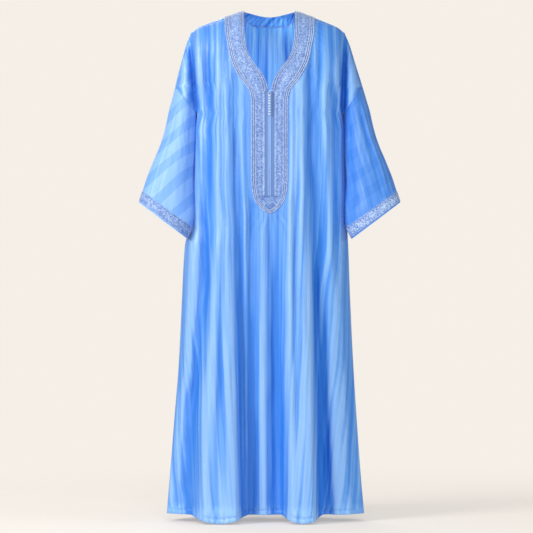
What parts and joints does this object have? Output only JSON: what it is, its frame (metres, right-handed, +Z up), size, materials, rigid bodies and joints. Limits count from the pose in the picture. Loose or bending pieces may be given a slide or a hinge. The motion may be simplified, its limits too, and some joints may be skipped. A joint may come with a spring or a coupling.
{
  "type": "gandoura robe",
  "caption": "Long loose robe with wide sleeves, an open V neck, an embroidered neck band and placket, and a short zip with a hanging bead pull.",
  "frame": {"origin": "midway between the two neck points, at the top of the shoulders, where the wearer's shoulders hold the robe up", "axes": "+Z up, -Y to the front, +X to the wearer's left; the hem hangs at -Z"},
  "size_m": [0.7324, 0.2658, 1.4202],
  "materials": {
    "satin": "satin",
    "satin_lining": "satin",
    "embroidery": "matte",
    "braid": "matte",
    "zip_tape": "matte",
    "zip_metal": "satin",
    "glass_beads": "gloss"
  },
  "bodies": {
    "garment": {"front_panel": "satin", "back_panel": "satin", "back_neck_band": "satin_lining", "neck_band": "embroidery", "braid_outer": "braid", "sleeve_right": "satin", "cuff_trim_right": "embroidery", "braid_inner_right": "braid", "zip_tape_right": "zip_tape", "sleeve_left": "satin", "cuff_trim_left": "embroidery", "braid_inner_left": "braid", "zip_tape_left": "zip_tape", "zip_slider": "zip_metal"},
    "pull": {"zip_pull": "glass_beads"}
  },
  "joints": [
    {"name": "zip_pull_swing", "type": "hinge", "parent": "garment", "child": "pull", "pos_m": [0, -0.11178, -0.2345], "axis": [-1, 0, 0], "range_deg": [0, 150]}
  ]
}
